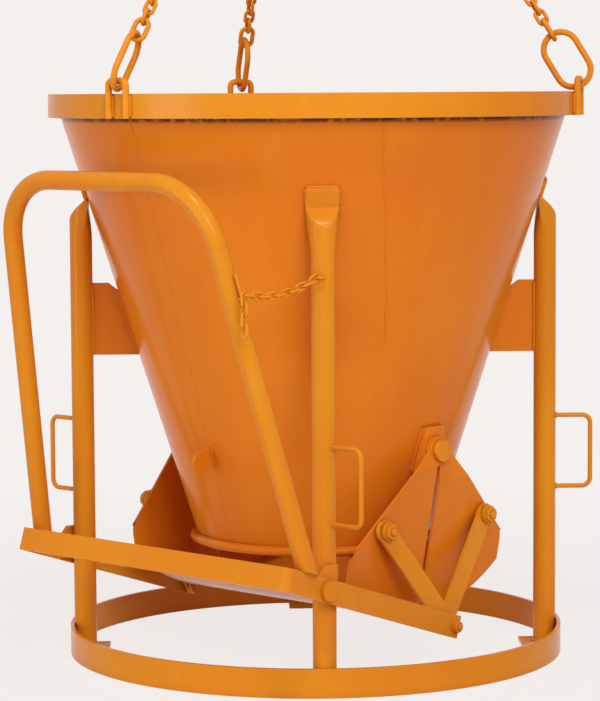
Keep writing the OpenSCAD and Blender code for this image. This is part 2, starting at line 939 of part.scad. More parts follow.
// Bail bow: the straight upper stretch of the bent tube, the operator's grip
module bail_bow() {
    color(paint_light)
        at_bail()
            translate([-bail_corner_x, 0, bail_h])
                rotate([0, 90, 0])
                    linear_extrude(2 * bail_corner_x)
                        bail_section();
}

// Lock hook: a rod that stands off the bail's right side
module lock_hook() {
    color(paint_light)
        at_bail()
            translate([bail_w / 2, 0, 0])
                rotate([0, -bail_taper, 0])
                    translate([bail_d / 2, 0, lock_bail_w - 20]) {
                        rotate([0, 90, 0])
                            cylinder(d = hook_d, h = hook_off);
                        translate([hook_off, 0, 0])
                            sphere(d = hook_d);
                        translate([hook_off, 0, 0])
                            cylinder(d = hook_d, h = hook_rise);
                    }
}

// Lock chain: short links from the leg's eye over to the bail, where the last ones hang down
module lock_chain() {
    turn = atan2(lock_to[1], lock_to[0]);
    step_a = lock_sweep / lock_n;
    r = (lock_l - slack) / 2 / sin(step_a / 2);
    a0 = -lock_sweep / 2 - lock_dip;
    first = a0 + step_a / 2;
    back = lock_in / 2 - 3 * slack;
    tip = (lock_l + lock_d) / 2;
    a1 = a0 + step_a * (lock_n - 0.5);
    x1 = r * (sin(a1) - sin(a0)) + tip * cos(a1);
    z1 = r * (cos(a0) - cos(a1)) + tip * sin(a1);
    color(paint_light)
        translate(lock_a)
            rotate([0, 0, turn])
                translate([-back * cos(first), 0, -back * sin(first)]) {
                    for (i = [0 : lock_n - 1]) {
                        a = a0 + step_a * (i + 0.5);
                        translate([r * (sin(a) - sin(a0)), 0, r * (cos(a0) - cos(a))])
                            rotate([0, 90 - a, 0])
                                rotate([0, 0, 90 * (i % 2)])
                                    oblong(lock_d, lock_l, lock_in);
                    }
                    for (j = [0 : lock_tail - 1])
                        translate([x1, 0, z1 + lock_d / 2 + slack - lock_l / 2 - j * (lock_l - slack)])
                            rotate([0, 0, 90 * (j % 2)])
                                oblong(lock_d, lock_l, lock_in);
                }
}

// A lug: a bent round bar on the outside of the rim
module lug(i) {
    color(paint_light)
        place(lug_az[i])
            translate([lug_r, 0, rim_z - rim_h])
                rotate([0, 0, 90])
                    u_rod(lug_w, rim_h + lug_up, lug_d, lug_d * 0.8);
}

// How far each link of a leg is turned, so that the twist from the lug to the ring is shared evenly
function top_turn(i) = 90 - atan2(along(i)[1], along(i)[0]);
function link_twist(i) = (top_turn(i) - lug_twist[i] - 90 * (sling_turns % 2)) / sling_turns;

// End links: an oblong link at both ends of each sling leg, on the lugs and on the master ring
module end_links() {
    color(paint_light)
        for (i = [0 : 2])
            translate(lug_point(i))
                aim(along(i)) {
                    translate([0, 0, end_l / 2])
                        rotate([0, 0, lug_twist[i]])
                            oblong(end_d, end_l, end_w);
                    translate([0, 0, sling_l - end_l / 2])
                        rotate([0, 0, top_turn(i)])
                            oblong(end_d, end_l, end_w);
                }
}

// A sling leg: a straight chain between two coupling links
module sling_leg(i) {
    step = 90 + link_twist(i);
    joiner_z = end_l - slack + joiner_l / 2;
    chain_z = joiner_z + joiner_l / 2 - slack + chain_l / 2;
    color(paint_light)
        translate(lug_point(i))
            aim(along(i)) {
                translate([0, 0, joiner_z])
                    rotate([0, 0, lug_twist[i] + step])
                        oblong(joiner_d, joiner_l, joiner_w);
                for (k = [0 : chain_n - 1])
                    translate([0, 0, chain_z + k * (chain_l - slack)])
                        rotate([0, 0, lug_twist[i] + (k + 2) * step])
                            oblong(chain_d, chain_l, chain_d * 1.35);
                translate([0, 0, sling_l - joiner_z])
                    rotate([0, 0, lug_twist[i] + (chain_n + 2) * step])
                        oblong(joiner_d, joiner_l, joiner_w);
            }
}

// Master ring: the round ring at the top that the crane's hook holds
module master_ring() {
    color(paint_light)
        translate([0, ring_y, ring_z])
            rotate([90, 0, 0])
                rotate_extrude($fn = 96)
                    translate([ring_mid, 0])
                        circle(d = ring_d);
}

hopper();
rim();
neck_ring();
base_ring();
leg(leg_az);  // leg_front_right
leg(-leg_az);  // leg_front_left
leg(180 - leg_az);  // leg_rear_right
leg(leg_az - 180);  // leg_rear_left
gusset(leg_az);  // gusset_front_right
gusset(-leg_az);  // gusset_front_left
gusset(180 - leg_az);  // gusset_rear_right
gusset(leg_az - 180);  // gusset_rear_left
foot(leg_az);  // foot_front_right
foot(-leg_az);  // foot_front_left
foot(180 - leg_az);  // foot_rear_right
foot(leg_az - 180);  // foot_rear_left
grab(leg_az, 90 - leg_az);  // grab_front_right
grab(-leg_az, leg_az - 90);  // grab_front_left
grab(180 - leg_az, 0);  // grab_rear_right
grab(leg_az - 180, 0);  // grab_rear_left
hanger(1);  // hanger_right
hanger(-1);  // hanger_left
jaw_pin(1);  // jaw_pin_right
jaw_pin(-1);  // jaw_pin_left
fork(1);  // fork_right
fork(-1);  // fork_left
lever_bolt(1);  // lever_bolt_right
lever_bolt(-1);  // lever_bolt_left
stop_lug();
lock_eye();
front_shell();
front_cheek(1);  // front_cheek_right
front_cheek(-1);  // front_cheek_left
front_studs();
rear_shell();
rear_cheek(1);  // rear_cheek_right
rear_cheek(-1);  // rear_cheek_left
rear_studs();
link_front(1);  // link_front_right
link_front(-1);  // link_front_left
link_rear(1);  // link_rear_right
link_rear(-1);  // link_rear_left
lever_frame();
lever_end_pins();
bail_bow();
bail_bend(1);  // bail_bend_right
bail_bend(-1);  // bail_bend_left
bail_side(1);  // bail_side_right
bail_side(-1);  // bail_side_left
lock_hook();
lock_chain();
lug(0);  // lug_front
lug(1);  // lug_right
lug(2);  // lug_left
sling_leg(0);  // sling_leg_front
sling_leg(1);  // sling_leg_right
sling_leg(2);  // sling_leg_left
end_links();
master_ring();
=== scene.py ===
"""Looks of a conical concrete bucket: orange enamel over welded plate, tube, bar and chain."""

import json
import math

import bpy
import numpy as np
from mathutils import Matrix, Vector


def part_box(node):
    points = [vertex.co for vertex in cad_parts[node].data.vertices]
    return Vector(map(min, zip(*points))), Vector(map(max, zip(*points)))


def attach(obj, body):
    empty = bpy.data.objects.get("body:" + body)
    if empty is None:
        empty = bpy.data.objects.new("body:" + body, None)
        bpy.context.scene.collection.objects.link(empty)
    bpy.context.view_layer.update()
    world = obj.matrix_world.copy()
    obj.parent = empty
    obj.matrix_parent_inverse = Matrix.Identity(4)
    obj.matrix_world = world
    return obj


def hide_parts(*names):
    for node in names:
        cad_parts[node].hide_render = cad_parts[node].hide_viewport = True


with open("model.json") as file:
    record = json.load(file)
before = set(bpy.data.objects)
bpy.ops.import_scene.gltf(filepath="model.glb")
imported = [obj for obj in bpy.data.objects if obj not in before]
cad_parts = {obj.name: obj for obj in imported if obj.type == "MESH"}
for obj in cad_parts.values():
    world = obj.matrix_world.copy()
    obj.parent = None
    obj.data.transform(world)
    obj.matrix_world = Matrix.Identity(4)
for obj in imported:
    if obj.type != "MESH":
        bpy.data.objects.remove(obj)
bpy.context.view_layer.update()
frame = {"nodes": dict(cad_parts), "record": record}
nodes = frame["nodes"]

# Sizes shared with the solids, in metres
STAND_H, NECK_R, TOP_R, HOPPER_H = 0.240, 0.250, 0.556, 0.964
CONE_K = (TOP_R - NECK_R) / HOPPER_H
CONE_A = math.atan(CONE_K)
RIM_R = 0.569
BASE_R, BASE_T = 0.535, 0.008
FOOT_TOP_Z = 0.008
LEG_D = 0.0483
LEG_R = BASE_R - BASE_T - LEG_D / 2
LEG_AZ = 45.0
LEG_XY = LEG_R * math.sin(math.radians(LEG_AZ))
CREASE_Z, FLAT_TOP_Z = 0.982, 1.022
FLAT_W, FLAT_T = 0.068, 0.008
ARM_X, ARM_T = 0.38872, 0.010
ARM_DROP, ARM_REACH = 0.128, 0.393
ARM_TILT = math.atan(ARM_DROP / ARM_REACH)
STUD_Y, STUD_Z, LEVER_END_Z = 0.1605, 0.310, 0.095
LEGS = {"front_right": LEG_AZ, "front_left": -LEG_AZ, "rear_right": 135.0, "rear_left": -135.0}
LUGS = (0.0, 120.0, -120.0)


def cone_r(z):
    """Radius of the cone's outer face at height z."""
    return NECK_R + (z - STAND_H) * CONE_K


def at(az, r, t, z):
    """The point r out from the axis at azimuth az, t along the tangent, at height z."""
    a = math.radians(az)
    return (r * math.sin(a) + t * math.cos(a), -r * math.cos(a) + t * math.sin(a), z)


def chord(r, t):
    """How far out a circle of radius r lies, t along the tangent."""
    return math.sqrt(r ** 2 - t ** 2)


def turns(n):
    """The angles of n equal steps around a circle."""
    return np.arange(n) * 2 * math.pi / n


def smooth(t):
    """A soft step from 0 to 1."""
    t = min(1.0, max(0.0, t))
    return t * t * (3.0 - 2.0 * t)


# Camera: fitted to the photograph's perspective, in pixels, millimetres, metres and degrees
FOCAL_PX, IMAGE_W = 2789.64, 600
SENSOR_W = 36.0
CAM_D, CAM_AZ, CAM_H = 6.03931, 42.92, 1.21013
CAM_PITCH, CAM_YAW, CAM_ROLL = 5.28, 0.29, -0.34
CAM_FAR = 60.0


def make_camera():
    """The photograph's camera, looking at the axis from CAM_AZ and then turned a little."""
    data = bpy.data.cameras.new("camera")
    data.sensor_fit = "HORIZONTAL"
    data.sensor_width = SENSOR_W
    data.lens = FOCAL_PX / IMAGE_W * SENSOR_W
    data.clip_end = CAM_FAR
    cam = bpy.data.objects.new("camera", data)
    bpy.context.scene.collection.objects.link(cam)
    az, pitch, roll = (math.radians(v) for v in (CAM_AZ, CAM_PITCH, CAM_ROLL))
    yaw = az + math.radians(CAM_YAW)
    ahead = Vector((-math.sin(yaw) * math.cos(pitch), math.cos(yaw) * math.cos(pitch),
                    -math.sin(pitch)))
    level = Vector((math.cos(yaw), math.sin(yaw), 0.0))
    upright = level.cross(ahead)
    right = level * math.cos(roll) + upright * math.sin(roll)
    up = upright * math.cos(roll) - level * math.sin(roll)
    m = Matrix((right, up, -ahead)).transposed().to_4x4()
    m.translation = Vector((CAM_D * math.sin(az), -CAM_D * math.cos(az), CAM_H))
    cam.matrix_world = m
    bpy.context.scene.camera = cam


make_camera()

# Sockets of a colour mix node, by number
MIX_FAC, MIX_A, MIX_B, MIX_OUT = 0, 6, 7, 2


class Graph:
    """A node tree that is built with short calls."""

    def __init__(self, tree):
        self.tree = tree
        tree.nodes.clear()

    def add(self, kind, inputs=None, **props):
        n = self.tree.nodes.new(kind)
        for k, v in props.items():
            setattr(n, k, v)
        for k, v in (inputs or {}).items():
            self.put(n.inputs[k], v)
        return n

    def put(self, socket, v):
        if isinstance(v, bpy.types.NodeSocket):
            self.tree.links.new(v, socket)
        else:
            socket.default_value = v

    def noise(self, coord, scale, detail=3.0, rough=0.5):
        n = self.add("ShaderNodeTexNoise", {"Vector": coord, "Scale": scale, "Detail": detail,
                                            "Roughness": rough})
        return n.outputs["Fac"]

    def span(self, value, a, b, c=0.0, d=1.0):
        n = self.add("ShaderNodeMapRange", {"Value": value, "From Min": a, "From Max": b,
                                            "To Min": c, "To Max": d})
        n.clamp = True
        return n.outputs["Result"]

    def math(self, op, a, b=0.0):
        return self.add("ShaderNodeMath", {0: a, 1: b}, operation=op).outputs[0]

    def dot(self, a, b):
        n = self.add("ShaderNodeVectorMath", {0: a, 1: b}, operation="DOT_PRODUCT")
        return n.outputs["Value"]

    def mix(self, fac, a, b):
        n = self.add("ShaderNodeMix", data_type="RGBA")
        self.put(n.inputs[MIX_FAC], fac)
        self.put(n.inputs[MIX_A], a)
        self.put(n.inputs[MIX_B], b)
        return n.outputs[MIX_OUT]


def rgb(r, g, b):
    """A linear colour from the 0 to 255 values of a screen colour."""
    def lin(v):
        v /= 255.0
        return v / 12.92 if v <= 0.04045 else ((v + 0.055) / 1.055) ** 2.4
    return (lin(r), lin(g), lin(b), 1.0)


def scaled(colour, shares):
    """A colour whose red, green and blue are each scaled."""
    return (*(c * s for c, s in zip(colour, shares)), 1.0)


# Paint: lengths in metres, and how strongly each effect shows
PALE = rgb(244, 240, 238)
# Painted shadow and dirt under the rim: its colour, its strength, and how far a face must turn
# outward to take it fully
RIM_SHADOW_DIRT, RIM_SHADOW_DIRT_SHARE, RIM_SHADOW_DIRT_RISE = rgb(58, 28, 10), 0.92, 0.06
RUN_STRETCH = (13.0, 13.0, 0.9)
# Tints of the deep colour for the random spots and for the painted shade in corners
SPOT_TINT, SHADE_TINT = (0.55, 0.5, 1.0), (0.62, 0.48, 0.6)
# Bevel radius for the rounded shading of edges, and the strength of the painted highlight on them
EDGE_R, EDGE_SHEEN_SHARE = 0.0016, 0.40
# Painted shade: how far the darkening of corners and crevices reaches, and how strong it is
SHADE_REACH, SHADE_SHARE = 0.035, 0.50
PEEL_STRENGTH, PEEL_DEPTH = 0.10, 0.0010
DENT_STRENGTH, DENT_DEPTH = 0.16, 0.010
ROUGH_LESS, ROUGH_MORE = 0.05, 0.10
SPECULAR = 0.11


def enamel(name, tone, deep, light, rough, peel=1.0, streaks=1.0, band=None):
    """Sprayed enamel on steel: tone shifts, runs, orange peel, soft edges with a painted highlight,
    and painted shade in the corners.

    A band is the pair of heights between which patchy dark soiling and painted shadow lie below an
    overhang.
    """
    m = bpy.data.materials.new(name)
    m.use_nodes = True
    g = Graph(m.node_tree)
    co = g.add("ShaderNodeTexCoord").outputs["Object"]
    tall = g.add("ShaderNodeMapping", {"Vector": co, "Scale": RUN_STRETCH}).outputs["Vector"]
    broad = g.noise(co, scale=2.2, detail=2.0)
    runs = g.noise(tall, scale=1.0, detail=4.0, rough=0.6)
    fine = g.noise(co, scale=95.0, detail=4.0, rough=0.6)
    spots = g.noise(co, scale=210.0, detail=2.0)
    # Each layer: a pattern, where it starts and is full, its share there, and its colour
    layers = (
        (broad, 0.35, 0.68, 0.55, deep),
        (runs, 0.52, 0.75, 0.30 * streaks, deep),
        (runs, 0.47, 0.28, 0.22 * streaks, light),
        (fine, 0.35, 0.70, 0.14, deep),
        (spots, 0.70, 0.76, 0.35, scaled(deep, SPOT_TINT)),
    )
    c = tone
    for pattern, start, full, share, colour in layers:
        c = g.mix(g.span(pattern, start, full, 0.0, share), c, colour)
    soft = g.add("ShaderNodeBevel", {"Radius": EDGE_R}, samples=4).outputs["Normal"]
    flat = g.add("ShaderNodeNewGeometry").outputs["Normal"]
    # Painted highlight: edges lightened towards the light tone, broken into patches
    sheen_patches = g.span(g.noise(co, scale=34.0), 0.38, 0.62)
    edge_sheen = g.math("MULTIPLY", g.span(g.dot(soft, flat), 0.985, 0.86), sheen_patches)
    c = g.mix(g.math("MULTIPLY", edge_sheen, EDGE_SHEEN_SHARE), c, light)
    # Painted shade: corners, creases and gaps darkened towards a redder deep colour where ambient
    # occlusion finds them
    shade = g.add("ShaderNodeAmbientOcclusion", {"Distance": SHADE_REACH}, samples=6).outputs["AO"]
    c = g.mix(g.span(shade, 0.75, 0.15, 0.0, SHADE_SHARE), c, scaled(deep, SHADE_TINT))
    # Painted shadow and dirt: a patchy dark band just below the rim's overhang
    if band:
        height = g.add("ShaderNodeSeparateXYZ", {"Vector": co}).outputs["Z"]
        patchy = g.span(g.noise(co, scale=60.0, detail=5.0, rough=0.7), 0.30, 0.50)
        rim_shadow_dirt = g.math("MULTIPLY", g.span(height, *band), patchy)
        rim_shadow_dirt = g.math("MULTIPLY", rim_shadow_dirt, g.span(g.dot(co, flat), 0.0, RIM_SHADOW_DIRT_RISE))
        c = g.mix(g.math("MULTIPLY", rim_shadow_dirt, RIM_SHADOW_DIRT_SHARE), c, RIM_SHADOW_DIRT)
    skin = g.noise(co, scale=430.0, detail=2.0, rough=0.55)
    wavy = g.noise(co, scale=7.0, detail=1.0)
    bump = g.add("ShaderNodeBump", {"Strength": PEEL_STRENGTH * peel, "Distance": PEEL_DEPTH,
                                    "Height": skin, "Normal": soft})
    dent = g.add("ShaderNodeBump", {"Strength": DENT_STRENGTH, "Distance": DENT_DEPTH,
                                    "Height": wavy, "Normal": bump.outputs["Normal"]})
    r = g.span(fine, 0.3, 0.75, rough - ROUGH_LESS, rough + ROUGH_MORE)
    b = g.add("ShaderNodeBsdfPrincipled", {"Base Color": c, "Roughness": r,
                                           "Normal": dent.outputs["Normal"]})
    b.inputs["Specular IOR Level"].default_value = SPECULAR
    out = g.add("ShaderNodeOutputMaterial")
    g.put(out.inputs["Surface"], b.outputs["BSDF"])
    return m


FINISHES = {
    # The hopper's band is a painted shadow with dirt, just under the rim
    "hopper_enamel": dict(tone=rgb(221, 132, 30), deep=rgb(210, 108, 24), light=rgb(228, 150, 42),
                          rough=0.19, band=(1.149, 1.156)),
    "frame_enamel": dict(tone=rgb(217, 146, 31), deep=rgb(209, 118, 25), light=rgb(236, 170, 56),
                         rough=0.19, streaks=0.6),
    "chain_enamel": dict(tone=rgb(226, 150, 32), deep=rgb(206, 112, 20), light=rgb(240, 182, 76),
                         rough=0.22, peel=1.3, streaks=0.5),
}
MATS = {slot: enamel(slot, **finish) for slot, finish in FINISHES.items()}
SLOT_OF = {s["node"]: s["material_slot"] for s in frame["record"]["subparts"]}
for name, obj in nodes.items():
    obj.data.materials.clear()
    obj.data.materials.append(MATS[SLOT_OF[name]])

# Angles in degrees above which an edge of a new piece shows as sharp
SHARP_NUT, SHARP_LEG, SHARP_BEAD = 30.0, 50.0, 60.0


def piece(name, verts, faces, body, slot, sharp):
    """A new mesh piece that rides on a body and takes a slot's finish."""
    me = bpy.data.meshes.new(name)
    me.from_pydata([tuple(v) for v in verts], [], [tuple(f) for f in faces])
    me.validate()
    me.shade_smooth()
    me.set_sharp_from_angle(angle=math.radians(sharp))
    me.materials.append(MATS[slot])
    o = bpy.data.objects.new(name, me)
    bpy.context.scene.collection.objects.link(o)
    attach(o, body)
    return o


def loft(rings, closed=False):
    """Vertices and faces of a skin over equal rings of points, closed on itself or by end fans."""
    count, n = len(rings), len(rings[0])
    verts = [p for r in rings for p in r]
    faces = []
    for i in range(count if closed else count - 1):
        here, there = i * n, (i + 1) % count * n
        for j in range(n):
            k = (j + 1) % n
            faces.append((here + j, here + k, there + k, there + j))
    if closed:
        return verts, faces
    for i, flip in ((0, True), (count - 1, False)):
        c = len(verts)
        verts.append(tuple(np.mean(np.array(rings[i]), axis=0)))
        for j in range(n):
            k = (j + 1) % n
            faces.append((c, i * n + k, i * n + j) if flip else (c, i * n + j, i * n + k))
    return verts, faces


def joined(meshes):
    """The vertices and faces of several meshes as one."""
    verts, faces = [], []
    for v, f in meshes:
        k = len(verts)
        verts += list(v)
        faces += [tuple(q + k for q in t) for t in f]
    return verts, faces


# Weld beads, lengths in metres: steps along a bead, its ripples, and its slow and quick swelling
BEAD_STEP, BEAD_STEPS_MIN, BEAD_SIDES = 0.0014, 6, 8
RIPPLE_PITCH, RIPPLE_DRIFT, RIPPLE_WAVE = 0.0042, 0.35, 91.0
BEAD_BASE, RIPPLE_RISE = 0.90, 0.16
SLOW_SWELL, SLOW_WAVE, SLOW_SEED = 0.07, 47.0, 3.1
QUICK_SWELL, QUICK_WAVE = 0.05, 173.0
BEAD_TIP = 0.25
SEED_STEP = 1.7
# A direction that few beads run along, one for those that do, and how near counts as along
ASIDE, ASIDE_2, ASIDE_NEAR = (0.31, 0.22, 0.92), (0.95, 0.2, 0.1), 0.9


def bead_mesh(points, radius, closed, seed):
    """A weld bead along points: overlapping ripples on a tube whose ends taper."""
    pts = np.array(points, float)
    if closed:
        pts = np.vstack([pts, pts[:1]])
    seg = np.linalg.norm(np.diff(pts, axis=0), axis=1)
    s = np.concatenate([[0.0], np.cumsum(seg)])
    n = max(BEAD_STEPS_MIN, int(s[-1] / BEAD_STEP))
    u = np.linspace(0.0, s[-1], n + 1)
    if closed:
        u = u[:-1]
    c = np.stack([np.interp(u, s, pts[:, k]) for k in range(3)], axis=1)
    if closed:
        tan = np.roll(c, -1, axis=0) - np.roll(c, 1, axis=0)
    else:
        tan = np.gradient(c, axis=0)
    tan /= np.linalg.norm(tan, axis=1)[:, None]
    ref = np.array(ASIDE)
    if abs(np.mean(tan @ ref)) > ASIDE_NEAR:
        ref = np.array(ASIDE_2)
    a = np.cross(tan, ref)
    a /= np.linalg.norm(a, axis=1)[:, None]
    b = np.cross(tan, a)
    ripple = (u / RIPPLE_PITCH + RIPPLE_DRIFT * np.sin(u * RIPPLE_WAVE + seed)) % 1.0
    r = radius * (BEAD_BASE + RIPPLE_RISE * np.sqrt(ripple)
                  + SLOW_SWELL * np.sin(u * SLOW_WAVE + seed * SLOW_SEED)
                  + QUICK_SWELL * np.sin(u * QUICK_WAVE + seed))
    if not closed:
        end = np.clip(np.minimum(u, s[-1] - u) / radius, 0.0, 1.0)
        r = r * np.clip(BEAD_TIP + (1.0 - BEAD_TIP) * np.sqrt(end), 0.0, 1.0)
    rings = []
    for i in range(len(u)):
        rings.append([c[i] + r[i] * (math.cos(q) * a[i] + math.sin(q) * b[i])
                      for q in turns(BEAD_SIDES)])
    return loft(rings, closed)


def beads(name, paths, body, slot):
    """One piece of several weld beads; each path is (points, radius, closed)."""
    meshes = [bead_mesh(points, radius, closed, SEED_STEP * i + len(name))
              for i, (points, radius, closed) in enumerate(paths)]
    return piece(name, *joined(meshes), body, slot, SHARP_BEAD)


def line(p, q, n=12):
    """Points along a straight line from p to q."""
    return [tuple(np.array(p) + (np.array(q) - np.array(p)) * t) for t in np.linspace(0.0, 1.0, n)]


def up_cone(az, t, low, high, lift, n):
    """Points up the cone's face at azimuth az, t along the tangent and lift off the face."""
    return [at(az, cone_r(z) + lift, t, z) for z in np.linspace(low, high, n)]


# Pressed legs, in metres: where a tube starts to widen and to close, and where its front folds back
WIDEN_Z, CLOSE_Z, FOLD_Z = 0.880, 0.90, 0.941
PLAIN_TOP_Z, PRESSED_LOW_Z = 0.86, 0.864
PLAIN_RINGS, PRESSED_RINGS, FLAT_RINGS = 40, 52, 8
LEG_SIDES = 48
SHUT_BELOW = 0.006
FOLD_STAND, FOLD_CURVE, FOLD_SOFT = 1.05, 1.5, 0.0016
FLAT_STEP, FLAT_INSET, INSET_BELOW = 0.002, 0.0012, 0.001
CORNER_POWER = 2.0 / 7.0


def cornered(v):
    """A cosine or sine bent so that a circle becomes a square with round corners."""
    return math.copysign(abs(v) ** CORNER_POWER, v)


def leg_rings(az):
    """Cross-sections of a leg from its foot to the flat that lies on the cone."""
    rings = []
    back0, front = LEG_R - LEG_D / 2, LEG_R + LEG_D / 2
    inner = cone_r(CREASE_Z) + FLAT_T * FOLD_STAND
    heights = (*np.linspace(FOOT_TOP_Z, PLAIN_TOP_Z, PLAIN_RINGS),
               *np.linspace(PRESSED_LOW_Z, CREASE_Z, PRESSED_RINGS))
    for z in heights:
        wide = smooth((z - WIDEN_Z) / (CREASE_Z - WIDEN_Z))
        half = LEG_D / 2 + (FLAT_W / 2 - LEG_D / 2) * wide
        close = smooth((z - CLOSE_Z) / (CREASE_Z - CLOSE_Z))
        back = back0 + (cone_r(CREASE_Z) - back0) * close
        shut = smooth((z - CLOSE_Z) / (CREASE_Z - SHUT_BELOW - CLOSE_Z))
        down = (CREASE_Z - z) / (CREASE_Z - FOLD_Z)
        scoop = 1.0 - (1.0 - down) ** FOLD_CURVE if down < 1.0 else down
        cut = inner + scoop * (front - inner)
        ring = []
        for q in turns(LEG_SIDES):
            cq = math.cos(q)
            x = (front + back) / 2 + (front - back) / 2 * cq
            x += (back + (front - back) * max(0.0, cq) - x) * shut
            d = max(0.0, min(1.0, 0.5 + (cut - x) / (2 * FOLD_SOFT)))
            x = x * d + cut * (1 - d) - FOLD_SOFT * d * (1 - d)
            ring.append(at(az, max(x, back), half * math.sin(q), z))
        rings.append(ring)
    for z in np.linspace(CREASE_Z + FLAT_STEP, FLAT_TOP_Z, FLAT_RINGS):
        inset = 0.0 if z < FLAT_TOP_Z - INSET_BELOW else FLAT_INSET
        mid = cone_r(z) + FLAT_T / 2 / math.cos(CONE_A)
        ring = []
        for q in turns(LEG_SIDES):
            x = mid + (FLAT_T / 2 - inset) * cornered(math.cos(q))
            y = (FLAT_W / 2 - inset) * cornered(math.sin(q))
            ring.append(at(az, x, y, z))
        rings.append(ring)
    return rings


for side, az in LEGS.items():
    v, f = loft(leg_rings(az))
    leg = piece("tube_leg_" + side, v, f, "bucket", "frame_enamel", SHARP_LEG)
    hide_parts("leg_" + side)

# Radii of the weld beads, in metres
BEAD_R = {
    "gusset_cone": 0.0036, "gusset_leg": 0.0034, "flat_side": 0.0032, "flat_top": 0.0036,
    "leg_foot": 0.0032, "foot_edge": 0.0030, "grab": 0.0020, "neck": 0.0026, "rim": 0.0030,
    "seam": 0.0024, "wavy": 0.0020, "hanger": 0.0030, "stop": 0.0026, "lug": 0.0030,
    "fork": 0.0030, "bail": 0.0030,
}

# Places of the welds on the legs, in metres: heights, distances from the middle, lifts off a face
GUSSET_LOW, GUSSET_CONE_TOP, GUSSET_LEG_TOP = 0.650, 0.786, 0.800
GUSSET_OFF, GUSSET_LIFT, GUSSET_LEG_R = 0.0055, 0.0012, LEG_R - 0.0240
FLAT_LOW, FLAT_HIGH, FLAT_OFF, FLAT_LIFT = 0.986, 1.020, FLAT_W / 2 + 0.0012, 0.0016
FLAT_BEAD_Z, FLAT_BEAD_HALF, FLAT_BEAD_LIFT = 1.0235, 0.033, 0.002
LEG_FOOT_Z, LEG_FOOT_R, LEG_FOOT_STEPS = 0.0098, 0.0256, 48
FOOT_EDGE_Z, FOOT_EDGE_HALF, FOOT_EDGE_R = 0.0096, 0.043, BASE_R - BASE_T - 0.0014
GRAB_Z, GRAB_R, GRAB_OUT, GRAB_STEPS = (0.350, 0.506), 0.0058, LEG_D / 2 + 0.0006, 24
GRAB_TURN = {"front_right": 90.0, "front_left": -90.0}


def grab_loop(az, turn, z):
    """Points around a grab loop's rod, where it meets a leg on the side at azimuth turn."""
    a = math.radians(turn)
    out = np.array((math.sin(a), -math.cos(a), 0.0))
    tan = np.array((math.cos(a), math.sin(a), 0.0))
    up = np.array((0, 0, 1.0))
    x, y, _ = at(az, LEG_R, 0.0, 0.0)
    c = np.array((x, y, z)) + out * GRAB_OUT
    return [tuple(c + GRAB_R * (math.cos(q) * tan + math.sin(q) * up)) for q in turns(GRAB_STEPS)]


for side, az in LEGS.items():
    on_leg, on_cone = [], []
    for s in (1, -1):
        t = s * GUSSET_OFF
        points = up_cone(az, t, GUSSET_LOW, GUSSET_CONE_TOP, GUSSET_LIFT, n=20)
        on_cone.append((points, BEAD_R["gusset_cone"], False))
        points = line(at(az, GUSSET_LEG_R, t, GUSSET_LOW), at(az, GUSSET_LEG_R, t, GUSSET_LEG_TOP))
        on_leg.append((points, BEAD_R["gusset_leg"], False))
        points = [at(az, chord(cone_r(z), FLAT_OFF) + FLAT_LIFT, s * FLAT_OFF, z)
                  for z in np.linspace(FLAT_LOW, FLAT_HIGH, num=8)]
        on_cone.append((points, BEAD_R["flat_side"], False))
    points = [at(az, chord(cone_r(FLAT_BEAD_Z), t) + FLAT_BEAD_LIFT, t, FLAT_BEAD_Z)
              for t in np.linspace(-FLAT_BEAD_HALF, FLAT_BEAD_HALF, num=12)]
    on_cone.append((points, BEAD_R["flat_top"], False))
    points = [at(az, LEG_R + LEG_FOOT_R * math.cos(q), LEG_FOOT_R * math.sin(q), LEG_FOOT_Z)
              for q in turns(LEG_FOOT_STEPS)]
    on_leg.append((points, BEAD_R["leg_foot"], True))
    points = [at(az, chord(FOOT_EDGE_R, t), t, FOOT_EDGE_Z)
              for t in np.linspace(-FOOT_EDGE_HALF, FOOT_EDGE_HALF, num=14)]
    on_leg.append((points, BEAD_R["foot_edge"], False))
    for z in GRAB_Z:
        on_leg.append((grab_loop(az, GRAB_TURN.get(side, az), z), BEAD_R["grab"], True))
    beads("weld_cone_" + side, on_cone, "bucket", "hopper_enamel")
    beads("weld_leg_" + side, on_leg, "bucket", "frame_enamel")

# Places of the welds on the cone: bar and rim, straight seams, wavy seam, hangers and stop lug
NECK_BEAD_R, NECK_BEAD_Z, NECK_STEP = 0.2589, 0.2596, 2.0
RIM_BEAD_R, RIM_BEAD_Z, RIM_STEP = 0.5505, 1.2022, 1.5
SEAM_AZ, SEAM_LOW, SEAM_HIGH, SEAM_LIFT = (0.0, 180.0), 0.270, 1.150, -0.0006
WAVY_AZ, WAVY_SLOPE, WAVY_LOW, WAVY_LIFT = 57.4, 15.8, 0.700, -0.0009
WAVES = ((0.0016, 41.0), (0.0010, 97.0))
HANGER_Y, HANGER_LOW, HANGER_HIGH, HANGER_LIFT = 0.0328, 0.418, 0.510, 0.0012
STOP_OFF, STOP_LOW, STOP_HIGH, STOP_LIFT = 0.0055, 0.434, 0.470, 0.001

